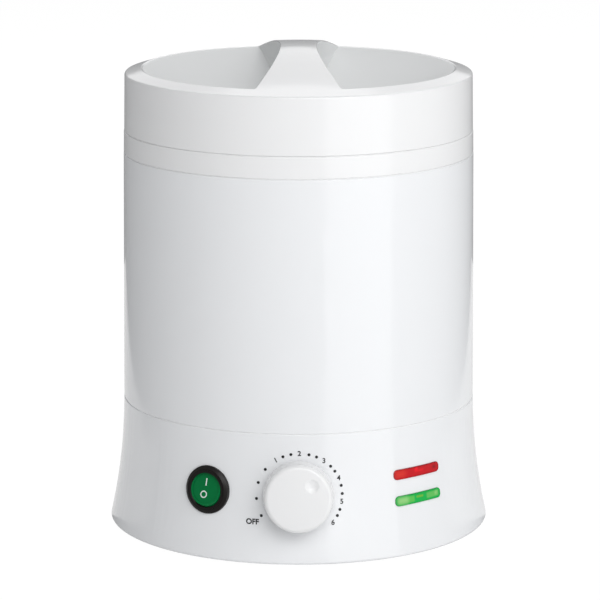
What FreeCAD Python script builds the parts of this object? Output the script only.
"""Wax warmer pot: a lidded heating pot with its controls in a flared base.

Millimetres and degrees. Z is up, the table is z = 0 and the axis of the pot is the Z axis.
The controls face -Y. Azimuths are measured from the front, positive towards +X.
"""
import FreeCAD, Part
import math
import os

# Outer shape
foot_height = 2.0
base_height = 61.4
base_bottom_radius = 93.35
body_height = 121.2
body_top_radius = 85.05
body_draft = 0.48
collar_height = 10.7
collar_radius = 85.0
lid_height = 40.8
lid_draft = 0.85
lid_step = 0.15
dome_radius = 280.0
rim_round = 1.2
edge_round = 0.5
base_edge_round = 1.2
seam_gap = 0.3
seam_depth = 1.0
wall = 2.5

# Lid crown: a bar across the middle between two finger pockets
pocket_radius = 76.4
pocket_depth = 14.5
pocket_corner = 3.0
pocket_edge_round = 0.5
bar_half_width = 8.9
bar_side_radius = 235.0
bar_undercut = 3.0
bar_crease_depth = 2.5
bar_flare = 8.5
lid_lip_width = 2.0
lid_lip_depth = 4.0
lid_lip_web = 3.0

# Inner pot and the collar that carries it
pot_radius = 67.0
pot_wall = 1.6
pot_draft = 1.0
pot_depth = 104.0
pot_corner = 8.0
pot_flange_radius = 79.0
collar_wall = 3.4
collar_skirt_wall = 5.0
collar_shelf = 3.0
collar_bore_gap = 0.5
collar_screw_circle = 74.0
collar_screw_azimuths = (45.0, 135.0, 225.0, 315.0)

# Heating well and what is wrapped round it
well_wall = 2.0
well_corner = 6.0
well_flange_radius = 79.0
well_flange = 1.5
well_screw_circle = 74.5
well_screw_azimuths = (0.0, 120.0, 240.0)
pot_gap = 1.0
pot_floor_gap = 0.5
sleeve_flange = 3.0
heater_thickness = 1.8
heater_width = 40.0
heater_rise = 10.0
heater_gap_angle = 16.0
heater_lug_height = 9.0
heater_lug_width = 22.0
heater_lug_wall = 1.5
heater_terminal_angle = 20.0
heater_terminal_size = 7.0
heater_terminal_height = 8.0
insulation_thickness = 7.5
insulation_gap_angle = 58.0
insulation_margin = 4.0

# Base: deck, posts, floor plate and feet
deck_thickness = 3.0
deck_opening_radius = 62.0
shield_radius = 70.0
shield_thickness = 1.0
shield_screw_circle = 66.0
shield_screw_azimuths = (90.0, 210.0, 330.0)
sleeve_boss_radius = 4.0
sleeve_boss_height = 16.0
sleeve_boss_inset = 6.2
sleeve_boss_azimuths = (45.0, 135.0, 225.0, 315.0)
post_radius = 4.5
post_inset = 14.35
post_azimuths = (72.0, 145.0, -145.0, -72.0)
plate_thickness = 2.5
plate_recess = 1.0
vent_count = 16
vent_inner_radius = 32.0
vent_length = 20.0
vent_width = 3.0
vent_corner = 1.35
wire_hole_radius = 2.4
foot_radius = 9.0
foot_inset = 19.35
foot_azimuths = (25.0, 125.0, -125.0, -25.0)
foot_stem_radius = 2.6
foot_head_radius = 3.8
foot_head_height = 2.0

# Screws: thread radius, head radius and head height of the two sizes used
screw_radius = 1.6
screw_head_radius = 3.2
screw_head_height = 1.4
screw_length = 12.0
small_screw_radius = 1.2
small_screw_head_radius = 2.4
small_screw_head_height = 1.0
small_screw_length = 4.0

# Control panel
control_height = 32.5
switch_azimuth = -29.35
lens_azimuth = 40.5
lens_pitch = 12.6
lens_length = 28.5
lens_width = 4.7
lens_corner = 1.9
lens_proud = 0.5
lens_flange = 1.2
lens_flange_margin = 1.5

# Rocker switch, standard 20 mm panel hole
switch_hole_radius = 10.0
bezel_radius = 11.5
bezel_height = 2.2
bezel_edge_height = 0.9
bezel_seat = 0.9
switch_opening_radius = 9.0
switch_body_depth = 20.0
switch_floor = 8.0
rocker_pivot_depth = 1.5
rocker_radius = 8.7
rocker_face = 3.7
rocker_dish_radius = 7.0
rocker_dish_depth = 0.4
rocker_tilt = 10.0
rocker_skirt = 4.5
rocker_pin_radius = 1.2
rocker_pin_length = 0.7
terminal_blade_width = 4.8
terminal_blade_thickness = 0.8
terminal_blade_length = 8.0
terminal_blade_pitch = 7.0

# Thermostat and its knob
bush_radius = 5.0
bush_nut_size = 14.0
bush_nut_height = 2.5
bush_seat = 0.7
bush_pad_radius = 11.0
bush_pad_depth = 6.0
thermostat_size = 36.0
thermostat_depth = 24.0
thermostat_corner = 4.0
shaft_radius = 3.0
shaft_flat = 1.0
shaft_inner_depth = 14.0
knob_radius = 16.85
knob_draft = 4.5
knob_height = 12.0
knob_least_lift = 1.0
knob_clearance = 0.45
knob_wall = 2.2
knob_shoulder = 2.4
knob_face_radius = 110.0
knob_hub_radius = 5.6
knob_dimple_offset = 9.4
knob_dimple_radius = 3.2
knob_dimple_depth = 0.9
knob_rest_angle = 45.0
knob_clip_wall = 0.7
knob_clip_width = 3.0
knob_clip_arc = 330.0

# Sensor bulb and thermal fuse under the well
bulb_radius = 2.5
bulb_length = 60.0
bulb_offset = 18.0
capillary_radius = 1.0
capillary_bend = 9.0
fuse_radius = 2.2
fuse_length = 14.0
fuse_offset = -16.0
strap_thickness = 1.0
strap_width = 10.0
strap_foot = 6.0

# Lamps
lamp_radius = 3.0
lamp_length = 20.0
lamp_setback = 9.5
carrier_thickness = 2.0
carrier_width = 26.0
carrier_foot = 12.0
carrier_margin = 5.0

# Rear: cord gland and terminal block
gland_height = 20.0
gland_pad_radius = 10.5
gland_pad_proud = 1.6
gland_pad_depth = 7.0
gland_clearance = 0.03
gland_bore_radius = 4.0
gland_body_radius = 6.0
gland_flange_radius = 9.0
gland_flange = 2.5
gland_nose_radius = 6.6
gland_nose_length = 7.0
gland_nut_size = 17.0
gland_nut_height = 4.0
gland_inner_length = 6.0
block_length = 34.0
block_depth = 18.0
block_height = 15.0
block_way_radius = 2.0
block_offset = 42.0
block_ways = 3

# Clearances
slide_gap = 0.3
screw_gap = 0.05
running_gap = 0.05
hole_gap = 0.1

# Levels and radii that follow from the sizes above
z_shell = foot_height
z_low = z_shell + base_height
z_mid = z_low + body_height
z_top = z_mid + collar_height
z_peak = z_top + lid_height
z_lid = z_top + seam_gap
z_deck = z_low - deck_thickness
z_plate = z_shell + plate_recess
z_floor = z_plate + plate_thickness
z_control = z_shell + control_height
z_gland = z_shell + gland_height
post_circle = base_bottom_radius - post_inset
foot_circle = base_bottom_radius - foot_inset

draft_slope = math.tan(math.radians(body_draft))
lid_slope = math.tan(math.radians(lid_draft))
body_bottom_radius = body_top_radius + body_height * draft_slope
collar_top_radius = collar_radius - collar_height * lid_slope
lid_bottom_radius = collar_top_radius - lid_step
collar_inner_radius = collar_top_radius - collar_wall
collar_skirt_radius = collar_radius - collar_skirt_wall

z_shelf_low = z_mid + well_flange + slide_gap
z_shelf = z_shelf_low + collar_shelf
z_pot_top = z_shelf + pot_wall
z_pot_floor = z_pot_top - pot_depth
pot_bottom_radius = pot_radius - pot_depth * math.tan(math.radians(pot_draft))
well_radius = pot_radius + pot_gap
well_outer_radius = well_radius + well_wall
z_well_floor = z_pot_floor - pot_floor_gap
z_well_bottom = z_well_floor - well_wall
heater_radius = well_outer_radius + screw_gap
z_heater = z_well_bottom + heater_rise
insulation_radius = heater_radius + heater_thickness + slide_gap

# The base flares in one arc that starts in line with the body's draft
flare_chord = FreeCAD.Vector(base_bottom_radius - body_bottom_radius, 0, -base_height)
draft_angle = math.radians(body_draft)
flare_normal = FreeCAD.Vector(math.cos(draft_angle), 0, math.sin(draft_angle))
flare_radius = flare_chord.dot(flare_chord) / (2 * flare_chord.dot(flare_normal))
flare_centre_r = body_bottom_radius + flare_radius * flare_normal.x
flare_centre_z = z_low + flare_radius * flare_normal.z

up = FreeCAD.Vector(0, 0, 1)
origin = FreeCAD.Vector(0, 0, 0)


def at(r, z):
    """A point of a turned profile, at radius r and height z."""
    return FreeCAD.Vector(r, 0, z)


def around(radius, azimuth, z):
    """A point at a radius and an azimuth from the front."""
    a = math.radians(azimuth)
    return FreeCAD.Vector(radius * math.sin(a), -radius * math.cos(a), z)


def profile(corners):
    """A closed outline of straight lines through (r, z) corners, or (r, z, round) for rounded ones."""
    count = len(corners)
    starts, ends, mids = [], [], []
    for i, corner in enumerate(corners):
        here = at(corner[0], corner[1])
        back = at(*corners[i - 1][:2]).sub(here)
        ahead = at(*corners[(i + 1) % count][:2]).sub(here)
        radius = corner[2] if len(corner) > 2 else 0
        half = back.getAngle(ahead) / 2
        reach = radius / math.tan(half)
        back.normalize()
        ahead.normalize()
        starts.append(here + back * reach)
        ends.append(here + ahead * reach)
        bisector = (back + ahead).normalize() if radius else up
        mids.append(here + bisector * (radius / math.sin(half) - radius))
    edges = []
    for i in range(count):
        if len(corners[i]) > 2:
            edges.append(Part.Arc(starts[i], mids[i], ends[i]).toShape())
        following = starts[(i + 1) % count]
        if ends[i].distanceToPoint(following) > 1e-6:
            edges.append(Part.makeLine(ends[i], following))
    return edges


def turn(edges, angle=360.0):
    """A solid turned from a closed profile about the Z axis."""
    return Part.Face(Part.Wire(edges)).revolve(origin, up, angle)


def turned(corners):
    return turn(profile(corners))


def cylinder(radius, start, end):
    """A cylinder of a radius between two points."""
    along = end.sub(start)
    return Part.makeCylinder(radius, along.Length, start, along)


def hexagon(size, z0, z1):
    """A hexagonal prism of a size across flats, about the Z axis."""
    corner = size / math.sqrt(3)
    points = []
    for i in range(7):
        angle = math.radians(60 * i)
        points.append(FreeCAD.Vector(corner * math.cos(angle), corner * math.sin(angle), z0))
    return Part.Face(Part.makePolygon(points)).extrude(up * (z1 - z0))


def slab(x0, x1, y0, y1, z0, z1):
    return Part.makeBox(x1 - x0, y1 - y0, z1 - z0, FreeCAD.Vector(x0, y0, z0))


def merge(shapes):
    """One solid from overlapping shapes."""
    first, rest = shapes[0], shapes[1:]
    return first.fuse(rest).removeSplitter()


def round_circle(shape, radius, r, z):
    """Round the circular edge of a turned solid that has radius r at height z."""
    found = []
    for edge in shape.Edges:
        low, high = edge.BoundBox.ZMin, edge.BoundBox.ZMax
        if high - low < 1e-4 and abs(low - z) < 1e-3 and abs(edge.BoundBox.XMax - r) < 1e-3:
            found.append(edge)
    return shape.makeFillet(radius, found)


def flare_outer(z, offset=0.0):
    """Outer radius of the base at height z, moved outwards by an offset."""
    reach = flare_radius - offset
    across = math.sqrt(reach ** 2 - (z - flare_centre_z) ** 2)
    return flare_centre_r - math.copysign(across, flare_radius)


def flare_tilt(z):
    """How far the panel's outward direction points above the horizontal at height z."""
    return math.degrees(math.asin((flare_centre_z - z) / flare_radius))


def flare_solid(offset, z0, z1):
    """Everything inside the base's flared surface, moved outwards by an offset."""
    low, high = at(flare_outer(z0, offset), z0), at(flare_outer(z1, offset), z1)
    z_half = (z0 + z1) / 2
    flare = Part.Arc(low, at(flare_outer(z_half, offset), z_half), high).toShape()
    corners = [high, at(0, z1), at(0, z0), low]
    sides = [Part.makeLine(a, b) for a, b in zip(corners, corners[1:])]
    return turn([flare] + sides)


def panel_place(azimuth, z):
    """The panel's own frame at a point: X to the right, Y up along the panel, Z outwards."""
    tilt = math.radians(flare_tilt(z))
    outward = around(math.cos(tilt), azimuth, math.sin(tilt))
    right = around(1, azimuth + 90, 0)
    rising = outward.cross(right)
    turned_frame = FreeCAD.Rotation(right, rising, outward, "ZXY")
    return FreeCAD.Placement(around(flare_outer(z), azimuth, z), turned_frame)


def placed(shape, place):
    moved = shape.copy()
    moved.Placement = place.multiply(moved.Placement)
    return moved


def screw(point, direction, radius, head_radius, head_height, length):
    """A pan-head screw: point is under the head, direction is the way it is driven."""
    head = cylinder(head_radius, point, point - direction * head_height)
    head = head.makeFillet(head_height / 2, [head.Edges[0]])
    return merge([head, cylinder(radius, point, point + direction * length)])


# Lid


def pocket_outline(side, grow, narrow, z):
    """D-shaped outline of a finger pocket at height z, grown by a wall; side is 1 or -1."""
    outer = pocket_radius + edge_round + grow
    centre = bar_half_width - narrow + bar_side_radius
    bend = bar_side_radius + grow
    corner = pocket_corner + grow
    x = ((outer - corner) ** 2 - (bend - corner) ** 2 + centre ** 2) / (2 * centre)
    y = math.sqrt((outer - corner) ** 2 - x ** 2)
    hub, bar_centre = FreeCAD.Vector(x, y, 0), FreeCAD.Vector(centre, 0, 0)
    on_rim = hub * (outer / (outer - corner))
    on_bar = bar_centre + (hub - bar_centre) * (bend / (bend - corner))
    turn_mid = hub + ((on_rim - hub) + (on_bar - hub)).normalize() * corner

    def point(p, flip=1):
        return FreeCAD.Vector(side * p.x, flip * p.y, z)

    waist, crest = FreeCAD.Vector(centre - bend, 0, 0), FreeCAD.Vector(outer, 0, 0)
    arcs = [
        Part.Arc(point(on_bar, -1), point(waist), point(on_bar)),
        Part.Arc(point(on_bar), point(turn_mid), point(on_rim)),
        Part.Arc(point(on_rim), point(crest), point(on_rim, -1)),
        Part.Arc(point(on_rim, -1), point(turn_mid, -1), point(on_bar, -1)),
    ]
    return Part.Wire([arc.toShape() for arc in arcs])


def dome_height(r):
    return z_peak - dome_radius + math.sqrt(dome_radius ** 2 - r ** 2)


z_rim = dome_height(pocket_radius)
z_crease = z_rim - bar_crease_depth
bowl_radius = (pocket_radius ** 2 + pocket_depth ** 2) / (2 * pocket_depth)
z_bowl = z_rim - pocket_depth


def finger_pocket(side, grow):
    """A bowl-floored pocket beside the bar; grow gives the outside of its wall."""
    undercut = math.tan(math.radians(bar_undercut))
    flare = math.tan(math.radians(bar_flare))
    z_high = z_peak + wall
    z_deep = z_bowl - 2 * wall
    crease = (z_peak - z_crease) * undercut
    sections = [
        pocket_outline(side, grow, (z_peak - z_high) * undercut, z_high),
        pocket_outline(side, grow, crease, z_crease),
        pocket_outline(side, grow, crease - (z_crease - z_deep) * flare, z_deep),
    ]
    bowl = Part.makeSphere(bowl_radius + grow, origin, FreeCAD.Vector(0, 0, 1))
    bowl.rotate(origin, up, 90)
    bowl.translate(FreeCAD.Vector(0, 0, z_bowl + bowl_radius))
    return Part.makeLoft(sections, True, True).common(bowl)


def lid_block(inset):
    """The lid's outer block, or its hollow when drawn in by a wall."""
    z0 = z_lid
    reach = dome_radius - inset
    foot = lid_bottom_radius - inset
    r = foot
    for _ in range(8):
        z = z_peak - dome_radius + math.sqrt(reach ** 2 - r ** 2)
        r = foot - (z - z0) * lid_slope
    rim, crown = at(r, z), at(0, z_peak - inset)
    half = r / 2
    crest = at(half, z_peak - dome_radius + math.sqrt(reach ** 2 - half ** 2))
    dome = Part.Arc(rim, crest, crown).toShape()
    corners = [crown, at(0, z0), at(foot, z0), rim]
    sides = [Part.makeLine(a, b) for a, b in zip(corners, corners[1:])]
    block = turn([dome] + sides)
    if inset:
        return block
    block = round_circle(block, rim_round, r, z)
    return round_circle(block, edge_round, foot, z0)


def on_dome(edge):
    """Whether an edge is where a finger pocket breaks the dome."""
    first, last = edge.ParameterRange
    for share in (0.2, 0.5, 0.8):
        point = edge.valueAt(first + share * (last - first))
        r = math.hypot(point.x, point.y)
        if r > pocket_radius + edge_round or abs(point.z - dome_height(r)) > 1e-3:
            return False
    return True


def lid_shell():
    block = lid_block(0)
    hollow = lid_block(wall)
    for side in (1, -1):
        block = block.cut(finger_pocket(side, 0))
        hollow = hollow.cut(finger_pocket(side, wall))
    mouths = [edge for edge in block.Edges if on_dome(edge)]
    shell = block.makeFillet(pocket_edge_round, mouths).cut(hollow)
    lip_outer = collar_inner_radius - slide_gap
    lip_inner = lip_outer - lid_lip_width
    into_wall = lid_bottom_radius - wall / 2
    lip = turned([
        (lip_inner, z_lid - lid_lip_depth, edge_round),
        (lip_outer, z_lid - lid_lip_depth, edge_round),
        (lip_outer, z_lid),
        (into_wall, z_lid),
        (into_wall, z_lid + lid_lip_web),
        (lip_inner, z_lid + lid_lip_web, edge_round),
    ])
    return merge([shell, lip])


# Pot and collar


def inner_pot():
    floor_radius = pot_bottom_radius
    return turned([
        (0, z_pot_floor),
        (floor_radius, z_pot_floor, pot_corner),
        (pot_radius, z_shelf),
        (pot_flange_radius, z_shelf),
        (pot_flange_radius, z_pot_top, pot_wall / 2),
        (pot_radius - pot_wall, z_pot_top, pot_wall),
        (floor_radius - pot_wall, z_pot_floor + pot_wall, pot_corner - pot_wall),
        (0, z_pot_floor + pot_wall),
    ])


def collar_screw_points(z):
    return [around(collar_screw_circle, azimuth, z) for azimuth in collar_screw_azimuths]


def pot_collar():
    ring = turned([
        (pot_radius + collar_bore_gap, z_shelf_low),
        (collar_skirt_radius, z_shelf_low),
        (collar_skirt_radius, z_mid + seam_gap),
        (collar_radius, z_mid + seam_gap, edge_round),
        (collar_top_radius, z_top, edge_round),
        (collar_inner_radius, z_top, edge_round),
        (collar_inner_radius, z_shelf),
        (pot_radius + collar_bore_gap, z_shelf),
    ])
    for point in collar_screw_points(z_shelf):
        ring = ring.cut(cylinder(small_screw_radius + screw_gap, point, point - up * collar_shelf))
    return ring


def pot_with_holes():
    pot = inner_pot()
    for point in collar_screw_points(z_shelf):
        pot = pot.cut(cylinder(small_screw_radius + screw_gap, point, point + up * pot_wall))
    return pot


def collar_screws():
    """Screws that hold the pot's flange down on the collar's shelf."""
    length = pot_wall + collar_shelf - edge_round
    return [small_screw(point, up * -1, length) for point in collar_screw_points(z_pot_top)]


def small_screw(point, direction, length):
    head_radius, head_height = small_screw_head_radius, small_screw_head_height
    return screw(point, direction, small_screw_radius, head_radius, head_height, length)


def large_screw(point, direction, length):
    return screw(point, direction, screw_radius, screw_head_radius, screw_head_height, length)


# Body sleeve, heating well and heater


def sleeve_boss_points(z):
    circle = body_bottom_radius - sleeve_boss_inset - screw_gap
    return [around(circle, azimuth, z) for azimuth in sleeve_boss_azimuths]


def well_screw_points(z):
    return [around(well_screw_circle, azimuth, z) for azimuth in well_screw_azimuths]


def body_sleeve():
    flange_inner = well_outer_radius + slide_gap
    shadow = body_bottom_radius - seam_depth
    sleeve = turned([
        (body_bottom_radius - wall, z_low),
        (shadow, z_low),
        (shadow, z_low + seam_gap),
        (body_bottom_radius - seam_gap * draft_slope, z_low + seam_gap, edge_round),
        (body_top_radius, z_mid, edge_round),
        (flange_inner, z_mid),
        (flange_inner, z_mid - sleeve_flange),
        (body_top_radius - wall + sleeve_flange * draft_slope, z_mid - sleeve_flange, wall),
    ])
    for point in sleeve_boss_points(z_low):
        boss = cylinder(sleeve_boss_radius, point, point + up * sleeve_boss_height)
        sleeve = merge([sleeve, boss])
        sleeve = sleeve.cut(cylinder(screw_radius + screw_gap, point, point + up * screw_length))
    for point in well_screw_points(z_mid):
        sleeve = sleeve.cut(cylinder(small_screw_radius + screw_gap, point, point - up * sleeve_flange))
    return sleeve


def sleeve_screws():
    """Screws driven up through the deck into the sleeve's bosses."""
    return [large_screw(point, up, screw_length) for point in sleeve_boss_points(z_deck)]


def heating_well():
    well = turned([
        (0, z_well_bottom),
        (well_outer_radius, z_well_bottom, well_corner + well_wall),
        (well_outer_radius, z_mid),
        (well_flange_radius, z_mid),
        (well_flange_radius, z_mid + well_flange),
        (well_radius, z_mid + well_flange, well_flange / 2),
        (well_radius, z_well_floor, well_corner),
        (0, z_well_floor),
    ])
    for point in well_screw_points(z_mid):
        sink = Part.makeCone(
            small_screw_radius + screw_gap, small_screw_head_radius + screw_gap, well_flange, point, up)
        well = well.cut(sink)
    return well


def well_screws():
    """Countersunk screws, flush with the well's flange."""
    screws = []
    for point in well_screw_points(z_mid):
        head = Part.makeCone(small_screw_radius, small_screw_head_radius, well_flange, point, up)
        screws.append(merge([head, cylinder(small_screw_radius, point, point - up * sleeve_flange)]))
    return screws


def band(inner, outer, z0, z1, gap_angle):
    """A ring open at the rear over an angle."""
    corners = [(inner, z0), (outer, z0), (outer, z1), (inner, z1)]
    ring = turn(profile(corners), 360 - gap_angle)
    ring.rotate(origin, up, 90 + gap_angle / 2)
    return ring


def rear_place(angle):
    """A frame on the Z axis whose X points outwards at an angle from the rear."""
    return FreeCAD.Placement(origin, FreeCAD.Rotation(up, 90 + angle))


def band_heater():
    """Mica band round the well, with clamp lugs and two terminal blocks at the rear."""
    outer = heater_radius + heater_thickness
    ring = band(heater_radius, outer, z_heater, z_heater + heater_width, heater_gap_angle)
    pieces = [ring]
    z_half = z_heater + heater_width / 2
    for side in (1, -1):
        lug_in = heater_lug_wall if side < 0 else 0
        lug = slab(heater_radius + heater_thickness / 2, outer + heater_lug_height, -lug_in,
                   heater_lug_wall - lug_in, z_half - heater_lug_width / 2, z_half + heater_lug_width / 2)
        lug = placed(lug, rear_place(side * heater_gap_angle / 2))
        pieces.append(lug.cut(heater_clamp_hole()))
        half = heater_terminal_size / 2
        terminal = slab(heater_radius + heater_thickness / 2, outer + heater_terminal_height,
                        -half, half, z_heater, z_heater + heater_terminal_size)
        pieces.append(placed(terminal, rear_place(side * heater_terminal_angle)))
    return merge(pieces)


def heater_clamp_hole():
    """A rod across the two lugs of the band, along X."""
    lean = math.radians(heater_gap_angle / 2)
    y = (heater_radius + heater_thickness + heater_lug_height / 2) * math.cos(lean)
    x = (y + screw_head_radius) * math.tan(lean) + heater_lug_wall / math.cos(lean)
    z = z_heater + heater_width / 2
    return cylinder(screw_radius + screw_gap, FreeCAD.Vector(-x, y, z), FreeCAD.Vector(x, y, z))


def insulation_blanket():
    outer = insulation_radius + insulation_thickness
    z0 = z_well_bottom + insulation_margin
    z1 = z_mid - sleeve_flange - insulation_margin
    return band(insulation_radius, outer, z0, z1, insulation_gap_angle)


# Base


def post_points(z):
    return [around(post_circle, azimuth, z) for azimuth in post_azimuths]


def foot_points(z):
    return [around(foot_circle, azimuth, z) for azimuth in foot_azimuths]


def lens_heights():
    return {"red": z_control + lens_pitch / 2, "green": z_control - lens_pitch / 2}


def pill(length, width, corner, z0, z1):
    """A rounded bar shape in a panel frame, from z0 to z1 along the outward direction."""
    block = slab(-length / 2, length / 2, -width / 2, width / 2, z0, z1)
    upright = [edge for edge in block.Edges if abs(edge.BoundBox.ZLength - (z1 - z0)) < 1e-6]
    return block.makeFillet(corner, upright)


def lens_window(z, grow):
    """The window's outline as a prism through the panel, grown all round."""
    prism = pill(lens_length + 2 * grow, lens_width + 2 * grow, lens_corner + grow, -4 * wall, 4 * wall)
    return placed(prism, panel_place(lens_azimuth, z))


def gland_places():
    """Distances from the axis to the gland pad's faces; flange and nut clear the flare."""
    nut_corner = gland_nut_size / math.sqrt(3)
    flange_edge = max(flare_outer(z_gland + side * gland_flange_radius) for side in (1, -1))
    nut_edge = min(flare_outer(z_gland + side * nut_corner, -wall) for side in (1, -1))
    outer = max(flare_outer(z_gland) + gland_pad_proud, flange_edge + gland_clearance)
    return outer, min(outer - gland_pad_depth, nut_edge - gland_clearance)


def base_housing():
    shell = round_circle(flare_solid(0, z_shell, z_low), base_edge_round, base_bottom_radius, z_shell)
    shell = round_circle(shell, edge_round, body_bottom_radius, z_low)
    shell = shell.cut(flare_solid(-wall, z_shell, z_deck))
    shell = shell.cut(cylinder(deck_opening_radius, at(0, z_deck), at(0, z_low)))
    extras = []
    for point in post_points(z_floor):
        extras.append(cylinder(post_radius, point, point + up * (z_deck - z_floor)))
    thermostat_at = panel_place(0, z_control)
    pad = cylinder(bush_pad_radius, at(0, -bush_pad_depth), at(0, -bush_seat))
    extras.append(placed(pad, thermostat_at))
    gland_out, gland_in = gland_places()
    pad_start = FreeCAD.Vector(0, gland_in, z_gland)
    pad_end = FreeCAD.Vector(0, gland_out, z_gland)
    extras.append(cylinder(gland_pad_radius, pad_start, pad_end))
    shell = merge([shell] + extras)
    cuts = []
    for point in post_points(z_floor):
        cuts.append(cylinder(screw_radius + screw_gap, point, point + up * screw_length))
    for point in sleeve_boss_points(z_deck):
        cuts.append(cylinder(screw_radius + hole_gap, point, point + up * deck_thickness))
    nut_room = bush_nut_size / math.sqrt(3) + slide_gap
    bush_hole = cylinder(bush_radius + hole_gap, at(0, -2 * bush_pad_depth), at(0, 2 * bush_pad_depth))
    bush_face = cylinder(nut_room, at(0, -bush_seat), at(0, wall - bush_seat))
    cuts += [placed(bush_hole, thermostat_at), placed(bush_face, thermostat_at)]
    switch_at = panel_place(switch_azimuth, z_control)
    switch_hole = cylinder(switch_hole_radius, at(0, -4 * wall), at(0, 4 * wall))
    switch_face = cylinder(bezel_radius + hole_gap, at(0, -bezel_seat), at(0, wall - bezel_seat))
    cuts += [placed(switch_hole, switch_at), placed(switch_face, switch_at)]
    cuts += [lens_window(z, hole_gap) for z in lens_heights().values()]
    gland_hole = cylinder(gland_body_radius + hole_gap, FreeCAD.Vector(0, gland_in - wall, z_gland),
                          FreeCAD.Vector(0, gland_out + wall, z_gland))
    cuts.append(gland_hole)
    wire_ways = [heater_wire_point(side, z_deck) for side in (1, -1)] + [capillary_points()[0]]
    for way in wire_ways:
        point = FreeCAD.Vector(way.x, way.y, z_deck)
        cuts.append(cylinder(wire_hole_radius, point, point + up * deck_thickness))
    for point in shield_screw_points(z_low):
        cuts.append(cylinder(small_screw_radius + screw_gap, point, point - up * deck_thickness))
    return shell.cut(cuts)


def heater_wire_point(side, z):
    """Where a heater lead drops from its terminal block."""
    radius = heater_radius + heater_thickness + heater_terminal_height / 2
    return around(radius, 180 - side * heater_terminal_angle, z)


def shield_screw_points(z):
    return [around(shield_screw_circle, azimuth, z) for azimuth in shield_screw_azimuths]


def heat_shield():
    shield = cylinder(shield_radius, at(0, z_low), at(0, z_low + shield_thickness))
    for point in shield_screw_points(z_low):
        shield = shield.cut(cylinder(small_screw_radius + screw_gap, point, point + up * shield_thickness))
    ways = [capillary_points()[0], fuse_lead_point()]
    for way in ways:
        start = FreeCAD.Vector(way.x, way.y, z_low)
        shield = shield.cut(cylinder(wire_hole_radius, start, start + up * shield_thickness))
    return shield


def shield_screws():
    length = shield_thickness + small_screw_length - deck_thickness / 2
    return [small_screw(point, up * -1, length) for point in shield_screw_points(z_low + shield_thickness)]


def base_plate():
    radius = flare_outer(z_floor, -wall) - slide_gap
    plate = cylinder(radius, at(0, z_plate), at(0, z_floor))
    cuts = []
    for index in range(vent_count):
        slot = slab(vent_inner_radius, vent_inner_radius + vent_length, -vent_width / 2, vent_width / 2,
                    z_plate, z_floor)
        upright = [edge for edge in slot.Edges if edge.BoundBox.ZLength > plate_thickness / 2]
        slot = slot.makeFillet(vent_corner, upright)
        slot.rotate(origin, up, 360 / vent_count * (index + 0.5))
        cuts.append(slot)
    for point in post_points(z_plate):
        cuts.append(cylinder(screw_radius + hole_gap, point, point + up * plate_thickness))
        cuts.append(cylinder(screw_head_radius + hole_gap, point, point + up * screw_head_height))
    for point in foot_points(z_plate):
        cuts.append(cylinder(foot_stem_radius + screw_gap, point, point + up * plate_thickness))
    return plate.cut(cuts)


def base_screws():
    """Screws driven up through the plate into the housing's posts, heads sunk in the plate."""
    screws = []
    for point in post_points(z_plate + screw_head_height):
        screws.append(large_screw(point, up, screw_length))
    return screws


def rubber_feet():
    """Push-in feet: a tapered pad, a stem through the plate and a head above it."""
    feet = []
    for point in foot_points(0):
        foot = turned([
            (0, 0),
            (foot_radius - edge_round, 0, edge_round),
            (foot_radius, z_plate),
            (foot_stem_radius, z_plate),
            (foot_stem_radius, z_floor),
            (foot_head_radius, z_floor),
            (foot_stem_radius, z_floor + foot_head_height),
            (0, z_floor + foot_head_height),
        ])
        foot.translate(point)
        feet.append(foot)
    return feet


# Rocker switch


def switch_housing():
    """Black bezel and body of the switch, with bores for the rocker's pins."""
    body_radius = switch_hole_radius - hole_gap
    body = turned([
        (0, -switch_body_depth),
        (body_radius, -switch_body_depth, edge_round),
        (body_radius, -bezel_seat),
        (bezel_radius, -bezel_seat),
        (bezel_radius, bezel_edge_height, edge_round),
        (switch_opening_radius + edge_round, bezel_height, edge_round),
        (switch_opening_radius, bezel_height - 2 * edge_round),
        (switch_opening_radius, -switch_body_depth + switch_floor),
        (0, -switch_body_depth + switch_floor),
    ])
    bore_radius = rocker_pin_radius + running_gap
    z_bore = -rocker_pivot_depth
    bore = cylinder(bore_radius, at(-body_radius, z_bore), at(body_radius, z_bore))
    return placed(body.cut(bore), panel_place(switch_azimuth, z_control))


def switch_rocker():
    """Round rocker cut from a ball about its pivot, so its gap stays even as it tips."""
    ball = Part.makeSphere(rocker_radius)
    keep = cylinder(rocker_radius + 1, at(0, -rocker_skirt), at(0, rocker_face))
    rocker = ball.common(keep)
    dish = cylinder(rocker_dish_radius, at(0, rocker_face - rocker_dish_depth), at(0, rocker_face + 1))
    rocker = rocker.cut(dish)
    reach = switch_opening_radius + rocker_pin_length
    pins = cylinder(rocker_pin_radius, at(-reach, 0), at(reach, 0))
    rocker = merge([rocker, pins])
    rocker.rotate(origin, FreeCAD.Vector(1, 0, 0), -rocker_tilt)
    rocker.translate(FreeCAD.Vector(0, 0, -rocker_pivot_depth))
    return placed(rocker, panel_place(switch_azimuth, z_control))


def switch_terminals():
    """Two blade terminals on the back of the switch."""
    blades = []
    for side in (1, -1):
        x = side * terminal_blade_pitch / 2
        half_x, half_y = terminal_blade_thickness / 2, terminal_blade_width / 2
        back = -switch_body_depth
        blade = slab(x - half_x, x + half_x, -half_y, half_y, back - terminal_blade_length, back)
        blades.append(placed(blade, panel_place(switch_azimuth, z_control)))
    return blades


# Thermostat and knob


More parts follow.
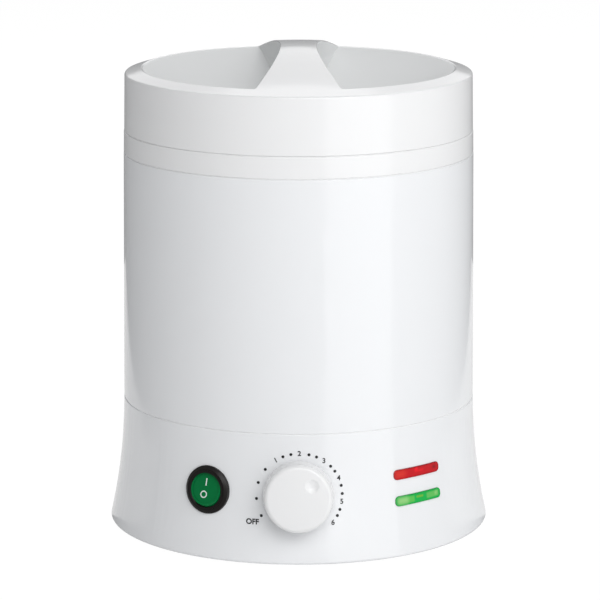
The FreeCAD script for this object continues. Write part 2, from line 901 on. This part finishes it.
def thermostat_body():
    """Control body behind the panel, with a threaded bush that goes through it."""
    half = thermostat_size / 2
    back = -bush_pad_depth - thermostat_depth
    box = slab(-half, half, -half, half, back, -bush_pad_depth)
    upright = [edge for edge in box.Edges if abs(edge.BoundBox.ZLength - thermostat_depth) < 1e-6]
    box = box.makeFillet(thermostat_corner, upright)
    bush = cylinder(bush_radius, at(0, -bush_pad_depth), at(0, bush_nut_height + edge_round))
    body = merge([box, bush])
    bore_start = -bush_pad_depth - shaft_inner_depth - slide_gap
    bore = Part.makeCylinder(shaft_radius + running_gap, thermostat_depth + 4 * bush_pad_depth,
                             FreeCAD.Vector(0, 0, bore_start))
    return placed(body.cut(bore), panel_place(0, z_control))


def thermostat_nut():
    nut = hexagon(bush_nut_size, -bush_seat, -bush_seat + bush_nut_height)
    hole = cylinder(bush_radius + screw_gap, at(0, -wall), at(0, wall + bush_nut_height))
    return placed(nut.cut(hole), panel_place(0, z_control))


def thermostat_terminals():
    """Two blade terminals on the back of the thermostat."""
    blades = []
    back = -bush_pad_depth - thermostat_depth
    for side in (1, -1):
        x = side * thermostat_size / 4
        half_x, half_y = terminal_blade_width / 2, terminal_blade_thickness / 2
        blade = slab(x - half_x, x + half_x, -half_y, half_y, back - terminal_blade_length, back)
        blades.append(placed(blade, panel_place(0, z_control)))
    return blades


knob_sag = max(0, knob_radius ** 2 / (2 * flare_radius))
knob_lift = max(knob_least_lift, knob_clearance + knob_sag)
knob_face = knob_lift + knob_height
flat_start = bush_nut_height + 2 * edge_round
shaft_tip = knob_face - 2 * knob_wall


def thermostat_shaft():
    """D-shaped spindle that the knob turns."""
    start = -bush_pad_depth - shaft_inner_depth
    shaft = Part.makeCylinder(shaft_radius, shaft_tip - start, FreeCAD.Vector(0, 0, start))
    flat = slab(-shaft_radius, shaft_radius, shaft_radius - shaft_flat, shaft_radius + 1,
                flat_start, shaft_tip + 1)
    shaft = shaft.cut(flat)
    shaft.rotate(origin, up, -knob_rest_angle)
    return placed(shaft, panel_place(0, z_control))


def control_knob():
    """Hollow round knob with a domed face and a thumb dimple that shows its setting."""
    front_radius = knob_radius - knob_height * math.tan(math.radians(knob_draft))
    cap_centre = knob_face - knob_face_radius
    blank = turned([
        (0, knob_lift),
        (knob_radius, knob_lift, edge_round),
        (front_radius, knob_face),
        (0, knob_face),
    ])
    cap = Part.makeSphere(knob_face_radius, FreeCAD.Vector(0, 0, cap_centre))
    blank = blank.common(cap)
    rims = [edge for edge in blank.Edges if edge.BoundBox.ZMin > knob_face - knob_height / 2
            and edge.BoundBox.XLength > knob_radius]
    blank = blank.makeFillet(knob_shoulder, rims)
    hollow = turned([
        (knob_hub_radius, knob_lift - 1),
        (knob_radius - knob_wall, knob_lift - 1),
        (front_radius - knob_wall, knob_face - 2 * knob_wall, edge_round),
        (knob_hub_radius, knob_face - 2 * knob_wall, edge_round),
    ])
    nut_room = bush_nut_height + edge_round + slide_gap
    recess = Part.makeCylinder(knob_radius - 2 * knob_wall, nut_room, FreeCAD.Vector(0, 0, 0))
    bore = Part.makeCylinder(shaft_radius + screw_gap, shaft_tip + screw_gap)
    key = slab(-shaft_radius, shaft_radius, shaft_radius - shaft_flat + screw_gap, shaft_radius + 1,
               flat_start + slide_gap, shaft_tip + 1)
    knob = blank.cut([hollow, recess, bore.cut(key)])
    sag = knob_dimple_radius ** 2 / (2 * knob_dimple_depth) + knob_dimple_depth / 2
    surface = cap_centre + math.sqrt(knob_face_radius ** 2 - knob_dimple_offset ** 2)
    dimple = Part.makeSphere(sag, FreeCAD.Vector(0, knob_dimple_offset, surface - knob_dimple_depth + sag))
    knob = knob.cut(dimple)
    knob.rotate(origin, up, -knob_rest_angle)
    return placed(knob, panel_place(0, z_control))


def knob_clip():
    """Spring ring that grips the knob's hub on the shaft."""
    inner = knob_hub_radius + screw_gap
    start = knob_face - 2 * knob_wall - edge_round - knob_clip_width
    outer = inner + knob_clip_wall
    end = start + knob_clip_width
    ring = turn(profile([(inner, start), (outer, start), (outer, end), (inner, end)]), knob_clip_arc)
    return placed(ring, panel_place(0, z_control))


# Sensor bulb, capillary and thermal fuse, strapped under the well


def capillary_points():
    """Up from the thermostat, then back along the bulb."""
    z_axis = z_well_bottom - bulb_radius - screw_gap
    depth = -bush_pad_depth - thermostat_depth / 2
    exit_point = Part.Vertex(bulb_offset / 2, thermostat_size / 2, depth)
    start = placed(exit_point, panel_place(0, z_control)).Point
    start.z += capillary_radius * math.tan(math.radians(flare_tilt(z_control))) + screw_gap
    corner = FreeCAD.Vector(start.x, start.y, z_axis)
    end = FreeCAD.Vector(start.x, start.y + 2 * capillary_bend, z_axis)
    return [start, corner, end]


def bent_tube(points, radius, bend):
    """A round tube along straight runs joined by tangent arcs."""
    edges = []
    here = points[0]
    for before, corner, after in zip(points, points[1:], points[2:]):
        back = (before - corner).normalize()
        ahead = (after - corner).normalize()
        half = back.getAngle(ahead) / 2
        reach = bend / math.tan(half)
        start, end = corner + back * reach, corner + ahead * reach
        middle = corner + (back + ahead).normalize() * (bend / math.sin(half) - bend)
        if here.distanceToPoint(start) > 1e-6:
            edges.append(Part.makeLine(here, start))
        edges.append(Part.Arc(start, middle, end).toShape())
        here = end
    edges.append(Part.makeLine(here, points[-1]))
    first = (points[1] - points[0]).normalize()
    section = Part.Wire(Part.makeCircle(radius, points[0], first))
    return Part.Wire(edges).makePipeShell([section], True, False)


def capillary_tube():
    return bent_tube(capillary_points(), capillary_radius, capillary_bend)


def sensor_bulb():
    start = capillary_points()[2]
    rod = cylinder(bulb_radius, start, start + FreeCAD.Vector(0, bulb_length, 0))
    return rod.makeFillet(bulb_radius / 2, [rod.Edges[0], rod.Edges[2]])


def strap(x, y, radius):
    """A saddle strap that holds a rod along Y up against the well's floor."""
    inner = radius + screw_gap
    outer = inner + strap_thickness
    reach = outer + strap_foot
    z_axis = z_well_bottom - radius - screw_gap
    z_foot = z_well_bottom - strap_thickness

    def point(dx, z):
        return FreeCAD.Vector(x + dx, y, z)

    inside = [point(-reach, z_well_bottom), point(-inner, z_well_bottom), point(-inner, z_axis)]
    outside = [point(inner, z_axis), point(inner, z_well_bottom), point(reach, z_well_bottom),
               point(reach, z_foot), point(outer, z_foot), point(outer, z_axis)]
    closing = [point(-outer, z_axis), point(-outer, z_foot), point(-reach, z_foot),
               point(-reach, z_well_bottom)]
    edges = []
    for run in (inside, outside, closing):
        edges += [Part.makeLine(a, b) for a, b in zip(run, run[1:])]
    edges.append(Part.Arc(inside[-1], point(0, z_axis - inner), outside[0]).toShape())
    edges.append(Part.Arc(outside[-1], point(0, z_axis - outer), closing[0]).toShape())
    outline = Part.Wire(Part.__sortEdges__(edges))
    return Part.Face(outline).extrude(FreeCAD.Vector(0, strap_width, 0))


def bulb_strap():
    start = capillary_points()[2]
    return strap(start.x, start.y + (bulb_length - strap_width) / 2, bulb_radius)


def fuse_start():
    z_axis = z_well_bottom - fuse_radius - screw_gap
    return FreeCAD.Vector(fuse_offset, -fuse_length / 2, z_axis)


def thermal_fuse():
    start = fuse_start()
    return cylinder(fuse_radius, start, start + FreeCAD.Vector(0, fuse_length, 0))


def fuse_strap():
    return strap(fuse_offset, -strap_width / 2, fuse_radius)


def fuse_lead_point():
    start = fuse_start()
    return FreeCAD.Vector(start.x, start.y - 2 * capillary_bend, z_low)


# Lenses and lamps


def lens(z):
    """A curved pill lens that fills its window and is held by a flange inside the wall."""
    margin = lens_width + lens_flange_margin
    z0, z1 = z - margin, z + margin
    plate = flare_solid(lens_proud, z0, z1).cut(flare_solid(-wall - screw_gap, z0, z1))
    front = plate.common(lens_window(z, 0))
    back = flare_solid(-wall - screw_gap, z0, z1).cut(flare_solid(-wall - screw_gap - lens_flange, z0, z1))
    back = back.common(lens_window(z, lens_flange_margin))
    return merge([front, back])


def lamp_radius_place():
    return flare_outer(z_control) - lamp_setback


def lamp_place(z):
    """An upright frame behind the lenses: X to the right, Z up, -Y outwards."""
    point = around(lamp_radius_place(), lens_azimuth, z)
    return FreeCAD.Placement(point, FreeCAD.Rotation(up, lens_azimuth))


def neon_lamps():
    """Two glass lamps that lie along the lenses, in front of their carrier."""
    lamps = []
    for z in lens_heights().values():
        half = lamp_length / 2
        lamp = cylinder(lamp_radius, at(-half, 0), at(half, 0))
        lamp = lamp.makeFillet(lamp_radius / 2, [lamp.Edges[0], lamp.Edges[2]])
        lamps.append(placed(lamp, lamp_place(z)))
    return lamps


def lamp_carrier():
    """Upright bracket that stands on the floor plate behind the lamps."""
    half = carrier_width / 2
    face = lamp_radius + screw_gap
    top = lens_heights()["red"] + carrier_margin - z_floor
    upright = slab(-half, half, face, face + carrier_thickness, 0, top)
    foot = slab(-half, half, face, face + carrier_foot, 0, carrier_thickness)
    return placed(merge([upright, foot]), lamp_place(z_floor))


# Rear


def cord_gland():
    """Flanged cord bush with a tapered nose, turned about a horizontal axis at the rear."""
    outer, inner = gland_places()
    bush = turned([
        (gland_bore_radius, inner - gland_nut_height - gland_inner_length),
        (gland_body_radius, inner - gland_nut_height - gland_inner_length),
        (gland_body_radius, outer),
        (gland_flange_radius, outer),
        (gland_flange_radius, outer + gland_flange, edge_round),
        (gland_nose_radius, outer + gland_flange),
        (gland_body_radius, outer + gland_flange + gland_nose_length, edge_round),
        (gland_bore_radius, outer + gland_flange + gland_nose_length),
    ])
    return placed(bush, gland_frame())


def gland_frame():
    return FreeCAD.Placement(at(0, z_gland), FreeCAD.Rotation(FreeCAD.Vector(1, 0, 0), -90))


def gland_nut():
    inner = gland_places()[1]
    nut = hexagon(gland_nut_size, inner - gland_nut_height, inner)
    hole = cylinder(gland_body_radius + screw_gap, at(0, inner - 2 * gland_nut_height), at(0, inner + 1))
    return placed(nut.cut(hole), gland_frame())


def terminal_block():
    """Three-way screw terminal block on the floor plate."""
    half = block_length / 2
    block = slab(-half, half, block_offset, block_offset + block_depth, z_floor, z_floor + block_height)
    cuts = []
    for index in range(block_ways):
        x = block_length / block_ways * (index - (block_ways - 1) / 2)
        way = FreeCAD.Vector(x, block_offset - 1, z_floor + block_height / 2)
        cuts.append(cylinder(block_way_radius, way, way + FreeCAD.Vector(0, block_depth + 2, 0)))
        for y in (block_offset + block_depth / 4, block_offset + block_depth * 3 / 4):
            top = FreeCAD.Vector(x, y, z_floor + block_height)
            cuts.append(cylinder(block_way_radius, top, top - up * (block_height / 4)))
    return block.cut(cuts)


parts = {
    "lid_shell": lid_shell(),
    "inner_pot": pot_with_holes(),
    "pot_collar": pot_collar(),
    "collar_screws": collar_screws(),
    "body_sleeve": body_sleeve(),
    "sleeve_screws": sleeve_screws(),
    "heating_well": heating_well(),
    "well_screws": well_screws(),
    "band_heater": band_heater(),
    "insulation_blanket": insulation_blanket(),
    "base_housing": base_housing(),
    "heat_shield": heat_shield(),
    "shield_screws": shield_screws(),
    "base_plate": base_plate(),
    "base_screws": base_screws(),
    "rubber_feet": rubber_feet(),
    "switch_housing": switch_housing(),
    "switch_rocker": switch_rocker(),
    "switch_terminals": switch_terminals(),
    "thermostat_body": thermostat_body(),
    "thermostat_nut": thermostat_nut(),
    "thermostat_terminals": thermostat_terminals(),
    "thermostat_shaft": thermostat_shaft(),
    "control_knob": control_knob(),
    "knob_clip": knob_clip(),
    "capillary_tube": capillary_tube(),
    "sensor_bulb": sensor_bulb(),
    "bulb_strap": bulb_strap(),
    "thermal_fuse": thermal_fuse(),
    "fuse_strap": fuse_strap(),
    "red_lens": lens(lens_heights()["red"]),
    "green_lens": lens(lens_heights()["green"]),
    "neon_lamps": neon_lamps(),
    "lamp_carrier": lamp_carrier(),
    "cord_gland": cord_gland(),
    "gland_nut": gland_nut(),
    "terminal_block": terminal_block(),
}

os.makedirs("parts", exist_ok=True)
for name, shape in parts.items():
    solids = shape if isinstance(shape, list) else [shape]
    whole = Part.makeCompound(solids) if len(solids) > 1 else solids[0]
    whole.exportStep("parts/" + name + ".step")
    print(name, len(whole.Solids), "solids, volume", round(whole.Volume, 1), "valid", whole.isValid())
